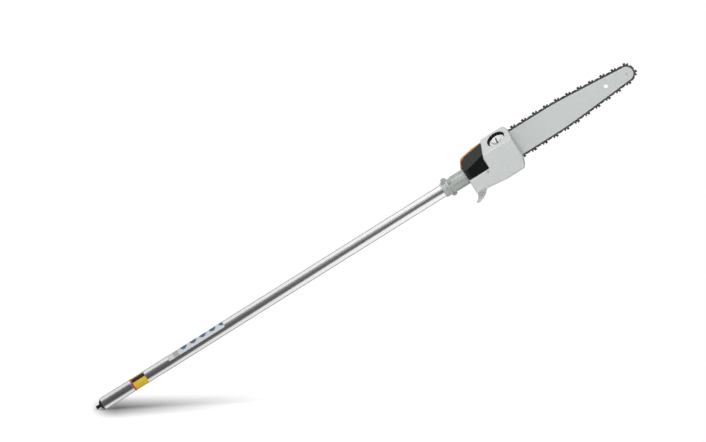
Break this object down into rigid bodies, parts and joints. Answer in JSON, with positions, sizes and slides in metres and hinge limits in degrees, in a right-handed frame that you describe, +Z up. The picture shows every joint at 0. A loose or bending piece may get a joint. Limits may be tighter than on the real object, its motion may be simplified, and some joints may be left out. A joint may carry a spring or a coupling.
{
  "type": "pole saw attachment",
  "caption": "Pole saw attachment: fixed aluminium drive tube, bevel gear head, oil tank with branch hook, and a guide bar with its saw chain.",
  "frame": {"origin": "centre of the drive tube at its coupling end", "axes": "+X along the tube toward the bar nose, +Z up in the plane of the bar, -Y toward the oil tank side"},
  "size_m": [1.2605, 0.0831, 0.1005],
  "materials": {
    "tube": "drawn and clear lacquered",
    "black": "fine grained",
    "cast": "die-cast, blasted",
    "steel": "machined",
    "dark_steel": "blackened and oiled",
    "chain": "blued and oiled, ground edges",
    "bar": "satin grey paint, bare rails",
    "tank": "light grey, slightly translucent",
    "cap": "white",
    "orange": "moulded",
    "rubber": "moulded",
    "bush": "natural nylon",
    "zinc": "zinc plated",
    "felt": "sintered filter"
  },
  "bodies": {
    "pole": {"drive_tube": "tube", "tube_end_bush": "black", "shaft_sleeves": "bush", "gear_housing": "cast", "clamp_screws": "zinc", "chamber_lid": "cast", "lid_screws": "zinc", "bearing_outer_rings": "steel", "bearing_balls": "steel", "pinion_circlip": "dark_steel", "shaft_seal": "rubber", "gear_cover": "black", "oil_tank": "tank", "tank_screws": "zinc", "filler_shroud": "black", "pump_body": "cast", "suction_hose": "rubber", "pickup_filter": "felt", "tank_vent": "rubber", "bar_plate": "steel", "bar_stud": "zinc", "cover_nut": "zinc", "cover_washer": "zinc", "sprocket_cover": "orange"},
    "drive_line": {"drive_shaft": "dark_steel", "bevel_pinion": "steel", "pinion_inner_rings": "steel"},
    "output_line": {"output_shaft": "steel", "bevel_gear": "steel", "output_inner_rings": "steel", "pump_drive_gear": "bush", "chain_sprocket": "steel", "sprocket_washer": "zinc", "sprocket_clip": "dark_steel"},
    "pump_line": {"pump_plunger": "steel", "pump_gear": "bush"},
    "guide_bar": {"bar_side_plates": "bar", "bar_core": "steel", "nose_hub": "steel", "nose_rivets": "steel", "tensioner_block": "zinc", "chain_drive_links": "chain", "chain_tie_straps": "chain", "chain_left_cutters": "chain", "chain_right_cutters": "chain", "chain_rivets": "chain"},
    "nose_wheel": {"nose_star": "steel"},
    "tensioner": {"tension_screw": "zinc"},
    "cap_lift": {"cap_seal": "rubber"},
    "cap": {"filler_cap": "cap"}
  },
  "joints": [
    {"name": "drive_spin", "type": "hinge", "parent": "pole", "child": "drive_line", "pos_m": [0, 0, 0], "axis": [1, 0, 0], "continuous": true},
    {"name": "sprocket_spin", "type": "hinge", "parent": "pole", "child": "output_line", "pos_m": [0.872, 0, 0], "axis": [0, 1, 0], "continuous": true},
    {"name": "pump_spin", "type": "hinge", "parent": "pole", "child": "pump_line", "pos_m": [0.88586, 0, 0.008], "axis": [0, 1, 0], "continuous": true},
    {"name": "bar_tension", "type": "slide", "parent": "pole", "child": "guide_bar", "axis": [1, 0, 0], "range_m": [-0.006, 0]},
    {"name": "nose_spin", "type": "hinge", "parent": "guide_bar", "child": "nose_wheel", "pos_m": [1.22499, 0.025, 0], "axis": [0, 1, 0], "continuous": true},
    {"name": "tension_turn", "type": "hinge", "parent": "pole", "child": "tensioner", "pos_m": [0.92, 0.0186, -0.013], "axis": [1, 0, 0], "range_deg": [0, 2700]},
    {"name": "cap_rise", "type": "slide", "parent": "pole", "child": "cap_lift", "axis": [0, -0.4472, 0.8944], "range_m": [0, 0.016]},
    {"name": "cap_turn", "type": "hinge", "parent": "cap_lift", "child": "cap", "pos_m": [0.94, -0.0075, 0.03325], "axis": [0, -0.4472, 0.8944], "range_deg": [0, 1440]}
  ],
  "couplings": [
    {"joint": "sprocket_spin", "follows": "drive_spin", "ratio": -0.78947},
    {"joint": "pump_spin", "follows": "drive_spin", "ratio": 0.61404},
    {"joint": "nose_spin", "follows": "drive_spin", "ratio": -0.78947},
    {"joint": "tension_turn", "follows": "bar_tension", "rad_per_m": -7854},
    {"joint": "cap_rise", "follows": "cap_turn", "m_per_rad": 0.00063662}
  ]
}
